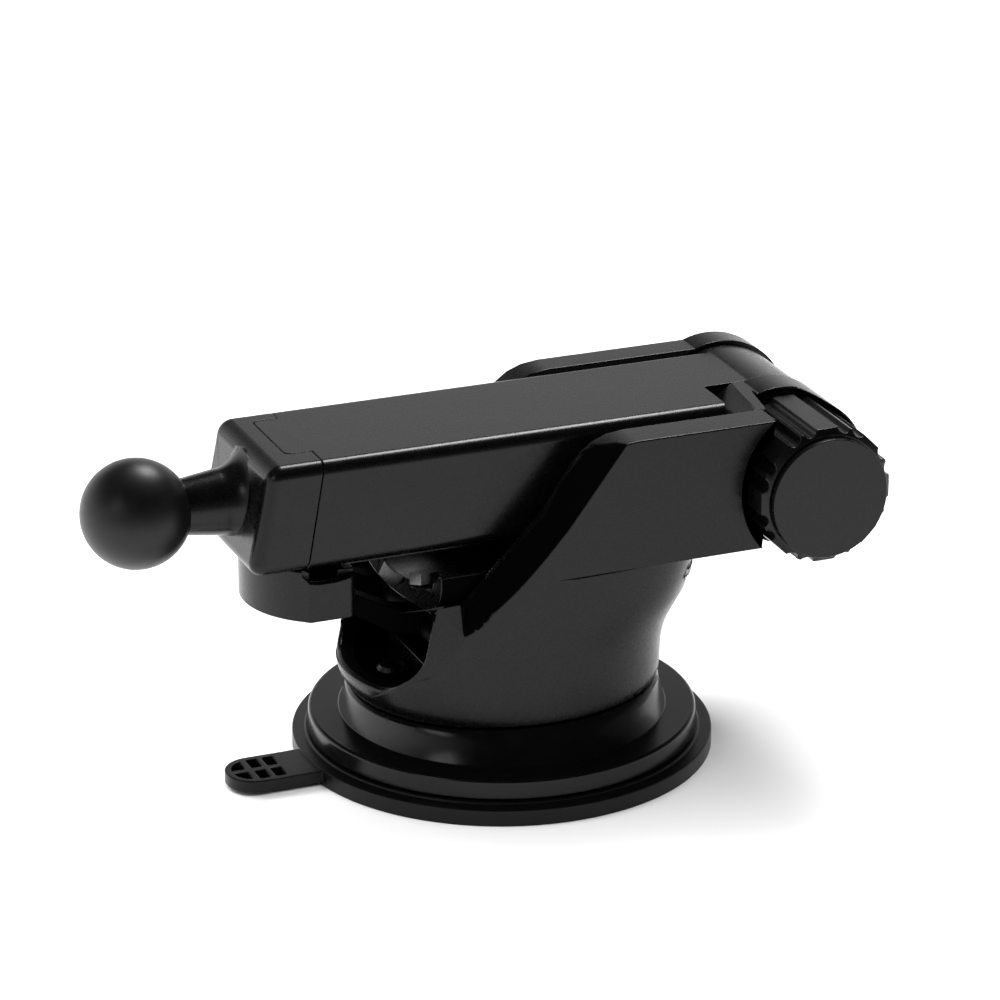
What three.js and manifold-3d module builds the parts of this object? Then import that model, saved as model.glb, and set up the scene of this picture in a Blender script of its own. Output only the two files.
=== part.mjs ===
// Dashboard phone mount base: suction foot, housing with two cheeks, folding telescopic arm with a
// ball stud, knurled clamp knob and a cam lever for the suction cup.
// Millimetres. Origin: centre of the underside of the suction pad. +Z up, the folded arm points to -X,
// the clamp knob faces -Y.
import * as THREE from "three";
import { mergeVertices } from "three/addons/utils/BufferGeometryUtils.js";
import Module from "manifold-3d";

const wasm = await Module();
wasm.setup();

// ---- driving dimensions ----
const GAP = 0.3;

const PAD_R = 33.15;
const PAD_T = 2.7;
const PAD_STEP_R = 31.15;
const PAD_STEP_Z = 3.1;

const TAB_END_X = -46.6;
const TAB_Y0 = -6.55;
const TAB_Y1 = 2.85;
const TAB_Z0 = 0.6;
const TAB_Z1 = 2.6;

const RING_R = 30.7;
const RING_Z0 = 3.4;
const RING_Z1 = 6.5;
const SKIRT_R = 25.8;
const SKIRT_Z1 = 11.3;
const DECK_T = 2.0;

const COLUMN_Z0 = 11.6;
const FLOOR_TOP = 14.1;
const WALL = 2.6;

const PIVOT_X = 42.8;
const PIVOT_Z = 44.6;

const NEAR_OUT = -22.1;
const NEAR_IN = -16.2;
const FAR_IN = 13.1;
const FAR_OUT = 18.2;
const CHEEK_TOP = 55.85;
const CHEEK_BOTTOM = 35.1;
const CHEEK_FOOT_X = -14.0;
const RIM_Y = -17.0;
const FAR_END_R = 12.0;

const CORE_HALF = 15.5;
const CORE_TIP_X = -19.6;
const CORE_ARC_R = 56.0;
const CORE_BACK_X = 30.2;
const CORE_Z0 = 29.7;
const CORE_Z1 = 35.6;
const DISH_R = 32.5;
const DISH_Z = 31.9;
const FRAME_TOP = 31.0;

const POCKET_NEAR = 15.4;
const POCKET_FAR = 13.6;
const POCKET_Z0 = 16.3;
const POCKET_R = 7.0;

const ARM_HALF = 12.75;
const ARM_Z0 = 38.6;
const ARM_Z1 = 55.7;
const ARM_EDGE_R = 2.0;
const CAP_LEAN = 0.2;
const CAP_FRONT_X = -42.1;
const SEAM_X = -33.4;
const BARREL_R = 11.4;
const BARREL_Y0 = -3.2;
const NOTCH_R = 14.9;

const KNUCKLE_Y1 = -3.5;
const KNUCKLE_Y0 = -9.5;
const KNUCKLE_R = 11.8;
const RECESS_R = 11.3;

const KNOB_FACE_Y = -28.7;
const KNOB_BODY_Y0 = -27.4;
const KNOB_BODY_Y1 = -10.9;
const KNOB_R = 10.98;
const KNOB_FACE_R = 9.6;

const BOLT_R = 2.5;
const BOLT_HOLE_R = 2.58;

const BALL_X = -59.3;
const BALL_Z = 46.9;
const BALL_R = 8.5;

const LEVER_PIN_X = -15.0;
const LEVER_PIN_Z = 25.6;
const LEVER_PIN_R = 1.5;
const LEVER_HALF = 12.2;
const LEVER_Z0 = 30.0;
const LEVER_Z1 = 38.2;

const POST_R = 3.6;

// ---- colours ----
const BLACK = 0x151516;
const RUBBER = 0x101011;
const STEEL = 0x8d9094;
const DARK_STEEL = 0x3a3b3d;
const BRASS = 0xa98d4e;
const NYLON = 0x2a2a2c;

// ---- geometry helpers ----

// A three.js geometry as a solid that can be joined and cut.
function solid(geometry) {
  const bare = geometry.index ? geometry.toNonIndexed() : geometry.clone();
  bare.deleteAttribute("normal");
  bare.deleteAttribute("uv");
  const welded = mergeVertices(bare, 1e-4);
  const index = welded.index.array;
  const faces = [];
  for (let i = 0; i < index.length; i += 3) {
    const a = index[i];
    const b = index[i + 1];
    const c = index[i + 2];
    if (a !== b && b !== c && c !== a) {
      faces.push(a, b, c);
    }
  }
  const build = (list) =>
    new wasm.Manifold(
      new wasm.Mesh({
        numProp: 3,
        vertProperties: welded.attributes.position.array,
        triVerts: new Uint32Array(list),
      }),
    );
  const made = build(faces);
  if (made.volume() >= 0) {
    return made;
  }
  const turned = [];
  for (let i = 0; i < faces.length; i += 3) {
    turned.push(faces[i], faces[i + 2], faces[i + 1]);
  }
  return build(turned);
}

function join(...parts) {
  return parts.reduce((a, b) => a.add(b));
}

function cut(body, ...tools) {
  return tools.reduce((a, b) => a.subtract(b), body);
}

function box(x0, x1, y0, y1, z0, z1) {
  const g = new THREE.BoxGeometry(x1 - x0, y1 - y0, z1 - z0);
  g.translate((x0 + x1) / 2, (y0 + y1) / 2, (z0 + z1) / 2);
  return solid(g);
}

function extrude(points, depth) {
  const shape = new THREE.Shape(points.map((p) => new THREE.Vector2(p[0], p[1])));
  return new THREE.ExtrudeGeometry(shape, { depth, bevelEnabled: false, steps: 1 });
}

// Outline in X and Z, extruded along Y.
function prismY(points, y0, y1) {
  const g = extrude(points, y1 - y0);
  g.rotateX(Math.PI / 2);
  g.translate(0, y1, 0);
  return solid(g);
}

// Outline in X and Y, extruded along Z.
function prismZ(points, z0, z1) {
  const g = extrude(points, z1 - z0);
  g.translate(0, 0, z0);
  return solid(g);
}

// Outline in Y and Z, extruded along X.
function prismX(points, x0, x1) {
  const g = extrude(points, x1 - x0);
  const turn = new THREE.Matrix4().makeBasis(
    new THREE.Vector3(0, 1, 0),
    new THREE.Vector3(0, 0, 1),
    new THREE.Vector3(1, 0, 0),
  );
  g.applyMatrix4(turn);
  g.translate(x0, 0, 0);
  return solid(g);
}

function cylinderY(r, y0, y1, x, z, segments = 64) {
  const g = new THREE.CylinderGeometry(r, r, y1 - y0, segments);
  g.translate(x, (y0 + y1) / 2, z);
  return solid(g);
}

function cylinderZ(r, z0, z1, x, y, segments = 32) {
  const g = new THREE.CylinderGeometry(r, r, z1 - z0, segments);
  g.rotateX(Math.PI / 2);
  g.translate(x, y, (z0 + z1) / 2);
  return solid(g);
}

function cylinderX(r, x0, x1, y, z, segments = 32) {
  const g = new THREE.CylinderGeometry(r, r, x1 - x0, segments);
  g.rotateZ(Math.PI / 2);
  g.translate((x0 + x1) / 2, y, z);
  return solid(g);
}

// Profile of [radius, height] turned about a line along Z.
function turnedZ(profile, x, y, segments) {
  const g = new THREE.LatheGeometry(profile.map((p) => new THREE.Vector2(p[0], p[1])), segments);
  g.rotateX(Math.PI / 2);
  g.translate(x, y, 0);
  return solid(g);
}

// Profile of [radius, y] turned about a line along Y.
function turnedY(profile, x, z, segments) {
  const g = new THREE.LatheGeometry(profile.map((p) => new THREE.Vector2(p[0], p[1])), segments);
  g.translate(x, 0, z);
  return solid(g);
}

// Profile of [radius, x] turned about a line along X.
function turnedX(profile, y, z, segments) {
  const g = new THREE.LatheGeometry(profile.map((p) => new THREE.Vector2(p[0], p[1])), segments);
  g.rotateZ(-Math.PI / 2);
  g.translate(0, y, z);
  return solid(g);
}

// Rings of points with equal counts, skinned one to the next and closed at both ends.
function loft(rings) {
  const count = rings[0].length;
  const positions = [];
  const tri = (a, b, c) => positions.push(...a, ...b, ...c);
  for (let k = 0; k + 1 < rings.length; k += 1) {
    for (let i = 0; i < count; i += 1) {
      const j = (i + 1) % count;
      tri(rings[k][i], rings[k][j], rings[k + 1][j]);
      tri(rings[k][i], rings[k + 1][j], rings[k + 1][i]);
    }
  }
  for (const [ring, flip] of [
    [rings[0], true],
    [rings[rings.length - 1], false],
  ]) {
    const centre = [0, 1, 2].map((axis) => ring.reduce((sum, p) => sum + p[axis], 0) / count);
    for (let i = 0; i < count; i += 1) {
      const j = (i + 1) % count;
      if (flip) {
        tri(centre, ring[j], ring[i]);
      } else {
        tri(centre, ring[i], ring[j]);
      }
    }
  }
  const g = new THREE.BufferGeometry();
  g.setAttribute("position", new THREE.Float32BufferAttribute(positions, 3));
  return solid(g);
}

function arc(cx, cy, r, from, to, steps) {
  const points = [];
  for (let i = 0; i <= steps; i += 1) {
    const a = THREE.MathUtils.degToRad(from + ((to - from) * i) / steps);
    points.push([cx + r * Math.cos(a), cy + r * Math.sin(a)]);
  }
  return points;
}

// Corners [x, y, radius] turned into an outline with each corner rounded.
function rounded(corners, perCorner = 5) {
  const out = [];
  const n = corners.length;
  for (let i = 0; i < n; i += 1) {
    const here = new THREE.Vector2(corners[i][0], corners[i][1]);
    const radius = corners[i][2] || 0;
    if (radius === 0) {
      out.push([here.x, here.y]);
      continue;
    }
    const before = corners[(i + n - 1) % n];
    const after = corners[(i + 1) % n];
    const u = new THREE.Vector2(before[0], before[1]).sub(here).normalize();
    const v = new THREE.Vector2(after[0], after[1]).sub(here).normalize();
    const half = Math.acos(THREE.MathUtils.clamp(u.dot(v), -1, 1)) / 2;
    const reach = radius / Math.tan(half);
    const middle = u.clone().add(v).normalize().multiplyScalar(radius / Math.sin(half)).add(here);
    const start = u.clone().multiplyScalar(reach).add(here);
    const end = v.clone().multiplyScalar(reach).add(here);
    const a0 = Math.atan2(start.y - middle.y, start.x - middle.x);
    let sweep = Math.atan2(end.y - middle.y, end.x - middle.x) - a0;
    if (sweep > Math.PI) {
      sweep -= 2 * Math.PI;
    }
    if (sweep < -Math.PI) {
      sweep += 2 * Math.PI;
    }
    for (let k = 0; k <= perCorner; k += 1) {
      const a = a0 + (sweep * k) / perCorner;
      out.push([middle.x + radius * Math.cos(a), middle.y + radius * Math.sin(a)]);
    }
  }
  return out;
}

function roundedRect(x0, x1, y0, y1, r, perCorner = 5) {
  return rounded(
    [
      [x0, y0, r],
      [x1, y0, r],
      [x1, y1, r],
      [x0, y1, r],
    ],
    perCorner,
  );
}

// Oval ring at height z: half lengths to -X and +X, half widths to -Y and +Y, and how square it is.
// The quarter towards +X and -Y may be squarer than the rest.
function oval(z, front, back, near, far, power, steps, corner = power) {
  const ring = [];
  for (let i = 0; i < steps; i += 1) {
    const a = (2 * Math.PI * i) / steps;
    const c = Math.cos(a);
    const s = Math.sin(a);
    const own = c > 0 && s < 0 ? corner : power;
    const rx = c < 0 ? front : back;
    const ry = s < 0 ? near : far;
    const x = Math.sign(c) * rx * Math.abs(c) ** (2 / own);
    const y = Math.sign(s) * ry * Math.abs(s) ** (2 / own);
    ring.push([x, y, z]);
  }
  return ring;
}

const root = new THREE.Group();
root.name = "phone_mount_base";

function add(name, body, colour, roughness, metalness) {
  const mesh = body.getMesh();
  const g = new THREE.BufferGeometry();
  g.setAttribute("position", new THREE.Float32BufferAttribute(mesh.vertProperties, 3));
  g.setIndex(new THREE.Uint32BufferAttribute(mesh.triVerts, 1));
  const flat = g.toNonIndexed();
  flat.computeVertexNormals();
  const material = new THREE.MeshStandardMaterial({ color: colour, roughness, metalness });
  const node = new THREE.Mesh(flat, material);
  node.name = name;
  root.add(node);
}

// ---- suction pad with its pull tab ----
function padTabOutline(inset) {
  const end = 4.5 - inset;
  return rounded(
    [
      [TAB_END_X + inset, TAB_Y0 + inset, end],
      [-30 - inset, TAB_Y0 + inset, 0],
      [-30 - inset, TAB_Y1 - inset, 0],
      [TAB_END_X + inset, TAB_Y1 - inset, end],
    ],
    8,
  );
}

function makePad() {
  const disc = turnedZ(
    [
      [0, 0],
      [PAD_R - 0.25, 0],
      [PAD_R, 0.25],
      [PAD_R, PAD_T - 0.3],
      [PAD_R - 0.3, PAD_T],
      [PAD_STEP_R, PAD_T],
      [PAD_STEP_R - 0.15, PAD_STEP_Z],
      [0, PAD_STEP_Z],
    ],
    0,
    0,
    80,
  );
  const tab = prismZ(padTabOutline(0), TAB_Z0, TAB_Z1);
  const inside = prismZ(padTabOutline(1.05), TAB_Z1 - 1.4, TAB_Z1 + 1);
  const columns = [
    [-45.9, -43.35],
    [-42.25, -40.55],
    [-39.65, -37.95],
  ];
  const rows = [
    [-5.75, -2.5],
    [-1.35, 1.8],
  ];
  const wells = [];
  for (const [x0, x1] of columns) {
    for (const [y0, y1] of rows) {
      wells.push(box(x0, x1, y0, y1, 0, 5));
    }
  }
  return cut(join(disc, tab), join(...wells).intersect(inside));
}
add("suction_pad", makePad(), RUBBER, 0.55, 0.0);

// ---- stiff disc above the pad, with the hole for the pull post ----
add(
  "suction_disc",
  turnedZ(
    [
      [7.5, RING_Z0],
      [28.2, RING_Z0],
      [28.2, 4.2],
      [26.5, 4.6],
      [12, 4.7],
      [7.5, 4.7],
      [7.5, RING_Z0],
    ],
    0,
    0,
    64,
  ),
  NYLON,
  0.5,
  0.0,
);

// ---- base ring with its skirt ----
const BASE_SCREW_R = 18.5;
const BASE_SCREW_ANGLES = [180, 320, 40];
const BASE_SCREWS = BASE_SCREW_ANGLES.map((a) => [
  BASE_SCREW_R * Math.cos(THREE.MathUtils.degToRad(a)),
  BASE_SCREW_R * Math.sin(THREE.MathUtils.degToRad(a)),
]);

function makeRing() {
  const outer = turnedZ(
    [
      [0, RING_Z0],
      [RING_R, RING_Z0],
      [RING_R - 0.1, RING_Z1 - 0.7],
      [RING_R - 0.25, RING_Z1 - 0.25],
      [RING_R - 0.65, RING_Z1],
      [0, RING_Z1],
    ],
    0,
    0,
    80,
  );
  const steps = 64;
  const skirt = loft([
    oval(RING_Z1 - 0.6, SKIRT_R + 0.05, SKIRT_R + 0.05, SKIRT_R + 0.05, SKIRT_R + 0.05, 2, steps),
    oval(RING_Z1, SKIRT_R, SKIRT_R, SKIRT_R, SKIRT_R, 2, steps),
    oval(8.6, 25.25, 25.25, 24.25, 24.25, 2.02, steps),
    oval(SKIRT_Z1 - 0.5, 24.8, 24.8, 22.7, 22.7, 2.05, steps),
    oval(SKIRT_Z1, 24.4, 24.4, 22.2, 22.2, 2.05, steps),
  ]);
  const hollow = turnedZ(
    [
      [0, RING_Z0 - 1],
      [28.6, RING_Z0 - 1],
      [28.6, 5.2],
      [22.6, 5.4],
      [20.2, SKIRT_Z1 - DECK_T],
      [0, SKIRT_Z1 - DECK_T],
    ],
    0,
    0,
    64,
  );
  const holes = BASE_SCREWS.map(([x, y]) => cylinderZ(1.32, 4, 13, x, y, 20));
  return cut(join(outer, skirt), hollow, cylinderZ(POST_R + 0.5, 4, 13, 0, 0, 40), ...holes);
}
add("base_ring", makeRing(), BLACK, 0.35, 0.0);

// ---- housing ----
const COLUMN_STEPS = 64;
// Height, half lengths and half widths, how square the ring is, and how square its +X -Y quarter is.
const COLUMN_LEVELS = [
  [COLUMN_Z0, 24.2, 24.3, 22.0, 22.0, 2.05, 2.05],
  [COLUMN_Z0 + 0.5, 24.8, 24.8, 22.3, 22.3, 2.05, 2.05],
  [13.2, 25.6, 25.0, 22.4, 22.4, 2.06, 2.06],
  [14.8, 26.2, 25.1, 22.4, 22.4, 2.07, 2.07],
  [17.0, 26.4, 25.2, 22.35, 22.3, 2.08, 2.08],
  [19.5, 26.4, 25.6, 22.25, 22.0, 2.1, 2.1],
  [22.0, 26.3, 26.6, 22.15, 21.5, 2.14, 2.14],
  [24.5, 26.2, 27.8, 22.1, 20.8, 2.2, 2.3],
  [27.0, 26.1, 28.45, 22.1, 20.0, 2.26, 2.6],
  [30.0, 26.0, 28.5, 22.1, 19.2, 2.3, 3.0],
  [33.0, 26.0, 28.6, 22.1, 18.5, 2.3, 3.3],
  [36.0, 26.0, 28.9, 22.1, 18.2, 2.3, 3.3],
  [60.0, 26.0, 28.9, 22.1, 18.2, 2.3, 3.3],
];

function columnRing(level, inset, frontInset, steps) {
  const [z, front, back, near, far, power, corner] = level;
  return oval(z, front - frontInset, back - inset, near - inset, far - inset, power, steps, corner);
}

// Front edge of a cheek from low to high: a steady slope that steepens and rounds over.
const CHEEK_FRONT = [
  [-13.3, 31.2],
  [0.9, 45.6],
  [3.3, 49.5],
  [4.7, 51.5],
  [6.4, 53.3],
  [8.2, 54.6],
  [10.6, 55.5],
  [13.4, CHEEK_TOP],
];

// A large block resting on the plane through a point along u and v, on the side of u x v.
function blockOver(point, u, v) {
  const along = new THREE.Vector3(...u).normalize();
  const normal = new THREE.Vector3().crossVectors(along, new THREE.Vector3(...v)).normalize();
  const side = new THREE.Vector3().crossVectors(normal, along);
  const g = new THREE.BoxGeometry(160, 160, 80);
  g.translate(0, 0, 40);
  g.applyMatrix4(new THREE.Matrix4().makeBasis(along, side, normal));
  g.translate(...point);
  return solid(g);
}

function makeColumn() {
  return loft(COLUMN_LEVELS.map((level) => columnRing(level, 0, 0, COLUMN_STEPS)));
}

function makeColumnHollow() {
  const levels = COLUMN_LEVELS.filter((level) => level[0] > 13 && level[0] < 28);
  const inset = levels.map((level) => columnRing(level, WALL, WALL + 0.3, 56));
  inset[0] = inset[0].map((p) => [p[0], p[1], FLOOR_TOP]);
  const high = box(-14.2, 25.5, -11.2, 11.2, 26.5, DISH_Z - 1);
  return join(loft(inset), high);
}

// The outline of the column's top, standing through the floor between the cheeks.
function makeColumnPlan() {
  return loft([20, 50].map((z) => oval(z, 60, 28.5, 22.1, 19.0, 2.3, 48, 3.1)));
}

// Floor block between the cheeks: a leaning front wall in a shallow bow, and a dished top.
function makeCore() {
  const setBacks = [
    [CORE_Z0, 0],
    [30.9, 0.6],
    [32.2, 1.25],
    [33.5, 1.45],
    [CORE_Z1, 1.5],
  ];
  const rings = setBacks.map(([z, setBack]) => {
    const ring = [[CORE_BACK_X, CORE_HALF, z]];
    for (let k = 0; k <= 16; k += 1) {
      const y = CORE_HALF * (1 - k / 8);
      ring.push([CORE_TIP_X + setBack + (y * y) / (2 * CORE_ARC_R), y, z]);
    }
    ring.push([CORE_BACK_X, -CORE_HALF, z]);
    return ring;
  });
  const dish = prismX(arc(0, DISH_Z + DISH_R, DISH_R, 180, 360, 48), -30, 24);
  return cut(loft(rings).intersect(makeColumnPlan()), dish);
}

// The flat part of the near cheek. The column's own curve carries on as its front end.
function makeNearCheek() {
  const curve = arc(45.1, PIVOT_Z, 14.0, 222.2, 127, 16);
  const top = CHEEK_FRONT.slice(2).reverse();
  const outline = [[-0.1, CHEEK_BOTTOM], ...curve, [37.0, CHEEK_TOP], ...top, [-0.1, 44.6]];
  return prismY(outline, NEAR_OUT, NEAR_IN);
}

function makeFarCheek() {
  const outline = rounded(
    [
      [-14.5, 24, 0],
      [6.0, 24, 0],
      [24.0, CHEEK_BOTTOM - 1.5, 6],
      [PIVOT_X - 2, CHEEK_BOTTOM - 1.5, 0],
      [PIVOT_X, CHEEK_TOP, 0],
      ...CHEEK_FRONT.slice()
        .reverse()
        .map((p) => [p[0], p[1], 0]),
    ],
    8,
  );
  const slab = prismY(outline, FAR_IN, FAR_OUT);
  const end = cylinderY(FAR_END_R, FAR_IN, FAR_OUT, PIVOT_X, PIVOT_Z, 72);
  return join(slab, end);
}

// Takes the near cheek's front edge down to a broad slanted facet, leaving a thin rim inside.
function makeBevelTool() {
  const edges = [
    [new THREE.Vector3(-14.1, -19.3, 27.3), new THREE.Vector3(-13.2, RIM_Y, 31.4)],
    [new THREE.Vector3(-12.5, -20.2, 27.95), new THREE.Vector3(-12.8, RIM_Y, 31.8)],
    [new THREE.Vector3(-11.2, -20.65, 29.1), new THREE.Vector3(-12.3, RIM_Y, 32.3)],
    [new THREE.Vector3(-9.9, -21.0, 30.95), new THREE.Vector3(-11.6, RIM_Y, 33.0)],
    [new THREE.Vector3(11.3, NEAR_OUT, 55.3), new THREE.Vector3(7.4, RIM_Y, 54.2)],
  ];
  const lift = new THREE.Vector3(-12, 0, 16);
  const rings = edges.map(([outer, rim]) => {
    const reach = outer.clone().sub(rim);
    const far = reach.multiplyScalar((-30 - RIM_Y) / reach.y).add(rim);
    return [far, rim, rim.clone().add(lift), far.clone().add(lift)];
  });
  const past = new THREE.Vector3(9, 0, 10);
  rings.push(rings[rings.length - 1].map((p) => p.clone().add(past)));
  const tool = loft(rings.map((ring) => ring.map((p) => p.toArray())));
  return tool.intersect(box(CHEEK_FOOT_X, 40, -40, RIM_Y, 10, 80));
}

// Hub the knob pulls against, and the flared collar that joins it to the near cheek.
function makeKnuckle() {
  const hub = cylinderY(KNUCKLE_R, NEAR_IN - 0.2, KNUCKLE_Y1, PIVOT_X, PIVOT_Z, 72);
  const collar = turnedY(
    [
      [0, NEAR_IN - 0.2],
      [13.35, NEAR_IN - 0.2],
      [12.45, KNUCKLE_Y1],
      [0, KNUCKLE_Y1],
    ],
    PIVOT_X,
    PIVOT_Z,
    72,
  );
  const side = [
    [25, CHEEK_TOP],
    [PIVOT_X - 3, CHEEK_TOP],
    [PIVOT_X, PIVOT_Z],
    [PIVOT_X - 9, 34],
    [25, 34],
  ];
  return join(hub, collar.intersect(prismY(side, -30, 0)));
}

function makeRecessTool() {
  const round = cylinderY(RECESS_R, -40, KNUCKLE_Y0, PIVOT_X, PIVOT_Z, 72);
  const mouth = cylinderY(14.0, -40, NEAR_IN - 0.25, 45.1, PIVOT_Z, 96);
  const window = [
    [38.8, -8.2],
    [38.9, -9.6],
    [45.9, -9.7],
    [48.2, -13.0],
    [50.4, -17.0],
    [60, -17.0],
    [60, -40],
    [33.5, -40],
    [36.5, -22.1],
  ];
  return join(round, mouth, prismZ(window, PIVOT_Z, 70));
}

// Opening at the front: flat floor, rounded lower corners, open at the top.
function makePocket() {
  const outline = rounded(
    [
      [-POCKET_NEAR, POCKET_Z0, POCKET_R],
      [POCKET_FAR, POCKET_Z0, POCKET_R],
      [POCKET_FAR, 62, 0],
      [-POCKET_NEAR, 62, 0],
    ],
    8,
  );
  return prismX(outline, -40, -12.5);
}

// Outline in Y and Z of the block the lever snaps onto. It leans with the dished edge it stands in.
function catchOutline(grow) {
  return [
    [-7.6 + grow, 31.9 - grow],
    [-7.6 + grow, 33.9 + grow],
    [-12.4 - 2 * grow, 35.4 + grow],
    [-12.4 - 2 * grow, 33.6 - grow],
  ];
}

function makeHousing() {
  const lugTop = blockOver([-17.1, -15.4, 30.7], [3.2, -3.05, 1.5], [0.3, 0.87, -0.5]).intersect(
    box(-40, CHEEK_FOOT_X, -40, 0.5, 20, 80),
  );
  const slopeRoom = [
    [-14, 31],
    [-13.3, 31.2],
    [0.9, 45.6],
    [3, 49],
    [3, 70],
    [-14, 70],
  ];
  let shell = cut(
    makeColumn(),
    lugTop,
    box(-40, CHEEK_FOOT_X, 0, 40, FRAME_TOP, 80),
    box(-40, 80, NEAR_IN, 40, FRAME_TOP, 80),
    box(0.2, 80, -40, NEAR_IN + 0.2, CHEEK_BOTTOM, 80),
    prismY(slopeRoom, -30, NEAR_IN + 0.2),
    makePocket(),
    blockOver([-14.1, -19.3, 27.3], [0.688, -0.725, 0], [0.107, 0.105, 0.988]),
  );
  const filler = box(-8, 30, NEAR_IN - 0.4, -15, 30, CHEEK_BOTTOM + 0.3).intersect(makeColumnPlan());
  shell = join(shell, makeNearCheek(), makeFarCheek(), makeCore(), makeKnuckle(), filler);
  shell = cut(shell, makeBevelTool(), makeColumnHollow(), makeRecessTool());
  shell = join(shell, box(-15.6, -14.4, -9, 9, FLOOR_TOP - 1, 17.8));
  const barrelRoom = cylinderY(BARREL_R + 0.6, KNUCKLE_Y1, FAR_IN, PIVOT_X, PIVOT_Z, 72);
  const holes = BASE_SCREWS.map(([x, y]) => cylinderZ(1.55, 10, 20, x, y, 20));
  const bolt = cylinderY(BOLT_HOLE_R, -12, 20, PIVOT_X, PIVOT_Z, 40);
  const hex = cylinderY(4.75, FAR_OUT - 2.4, 20, PIVOT_X, PIVOT_Z, 6);
  const postHole = cylinderZ(POST_R + 0.5, 8, 16, 0, 0, 40);
  const pinHole = cylinderY(LEVER_PIN_R + 0.06, -16.6, 16.6, LEVER_PIN_X, LEVER_PIN_Z, 32);
  const catchRoom = prismX(catchOutline(GAP + 0.05), -21, -15.0);
  return cut(shell, barrelRoom, bolt, hex, postHole, pinHole, catchRoom, ...holes);
}
add("housing", makeHousing(), BLACK, 0.42, 0.0);

// ---- screws that hold the housing on the base ring ----
function panScrew(x, y, headZ, headR, headT, shaftR, tipZ) {
  const head = turnedZ(
    [
      [0, headZ],
      [headR, headZ],
      [headR, headZ + headT * 0.45],
      [headR * 0.8, headZ + headT * 0.85],
      [headR * 0.45, headZ + headT],
      [0, headZ + headT],
    ],
    x,
    y,
    28,
  );
  const shaft = cylinderZ(shaftR, tipZ, headZ + 0.2, x, y, 20);
  const slot = headR * 0.55;
  const z0 = headZ + headT * 0.45;
  const z1 = headZ + headT + 1;
  const width = headR * 0.13;
  const cross = join(
    box(x - slot, x + slot, y - width, y + width, z0, z1),
    box(x - width, x + width, y - slot, y + slot, z0, z1),
  );
  return cut(join(head, shaft), cross);
}

BASE_SCREWS.forEach(([x, y], i) => {
  const screw = panScrew(x, y, FLOOR_TOP + GAP, 2.4, 1.6, 1.25, 7.0);
  add(`base_screw_${i + 1}`, screw, DARK_STEEL, 0.4, 0.9);
});

// ---- post that lifts the middle of the suction pad, and its return spring ----
const POST_FOOT_T = 1.2;
const SPRING_Z0 = RING_Z0 + POST_FOOT_T + 0.2;
const SPRING_Z1 = SKIRT_Z1 - DECK_T - 0.2;
const NOSE_X = LEVER_PIN_X + 3.4;
const NOSE_Z = LEVER_PIN_Z - 0.4;
const NOSE_R = 1.1;
const CROSSHEAD_Z0 = NOSE_Z + NOSE_R + GAP;
const CROSSHEAD_Z1 = CROSSHEAD_Z0 + 1.6;
const HUB_R = 2.6;

function makePost() {
  const foot = cylinderZ(6.8, RING_Z0, RING_Z0 + POST_FOOT_T, 0, 0, 40);
  const shaft = cylinderZ(POST_R, RING_Z0, CROSSHEAD_Z0 + 0.5, 0, 0, 40);
  const head = box(-12.2, 4.2, -3.0, 3.0, CROSSHEAD_Z0, CROSSHEAD_Z1);
  return join(foot, shaft, head);
}
add("pull_post", makePost(), NYLON, 0.5, 0.0);

add(
  "return_spring",
  turnedZ(
    [
      [4.4, SPRING_Z0],
      [6.2, SPRING_Z0],
      [6.2, SPRING_Z1],
      [4.4, SPRING_Z1],
      [4.4, SPRING_Z0],
    ],
    0,
    0,
    32,
  ),
  STEEL,
  0.35,
  1.0,
);

// ---- lever that pulls the suction pad up ----
function leverOutline(inset, rearX) {
  const r = 14.26 - inset;
  const half = LEVER_HALF - inset;
  const tip = arc(-28.3, 0, r, 127.6, 232.4, 20);
  const rear = rounded(
    [
      [tip[tip.length - 1][0], tip[tip.length - 1][1], 0],
      [-36.0, -half, 1.0],
      [rearX, -half, 1.6],
      [rearX, half, 1.6],
      [-36.0, half, 1.0],
      [tip[0][0], tip[0][1], 0],
    ],
    5,
  );
  return [...tip.slice(1, -1), ...rear];
}

// Dip in the rim of the lever's two side walls, in X and Z.
const LEVER_DIP = [
  [-37.1, 40],
  [-36.9, 37.5],
  [-36.0, 36.5],
  [-34.5, 36.2],
  [-32.0, 36.2],
  [-28, 36.8],
  [-28, 40],
];

function makeLever() {
  const cup = prismZ(leverOutline(0, -28.4), LEVER_Z0, LEVER_Z1);
  const scoop = prismZ(leverOutline(1.6, -30.0), LEVER_Z0 + 1.8, LEVER_Z1 + 2);
  const dips = [
    prismY(LEVER_DIP, -20, -10.5),
    prismY(LEVER_DIP, 10.5, 20),
    box(-31, -28, -20, 20, LEVER_Z1 - 0.8, 45),
  ];
  const armOutline = [
    [LEVER_PIN_X, LEVER_PIN_Z - HUB_R + 0.1],
    [LEVER_PIN_X, LEVER_PIN_Z + HUB_R - 0.1],
    [-17.0, 28.0],
    [-21.0, 28.9],
    [-29.9, 33.5],
    [-29.9, 30.3],
    [-22.5, 25.6],
  ];
  const arms = [prismY(armOutline, 5.6, 9.4), prismY(armOutline, -9.4, -5.6)];
  const hub = cylinderY(HUB_R, -14.9, 13.1, LEVER_PIN_X, LEVER_PIN_Z, 40);
  const nose = cylinderY(NOSE_R, -2.7, 2.7, NOSE_X, NOSE_Z, 24);
  const web = box(LEVER_PIN_X + 1.6, NOSE_X, -2.7, 2.7, NOSE_Z - 0.9, NOSE_Z + 0.7);
  const bore = cylinderY(LEVER_PIN_R + 0.06, -20, 20, LEVER_PIN_X, LEVER_PIN_Z, 32);
  return cut(join(cut(cup, scoop, ...dips), ...arms, hub, nose, web), bore);
}
add("suction_lever", makeLever(), BLACK, 0.42, 0.0);

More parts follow.
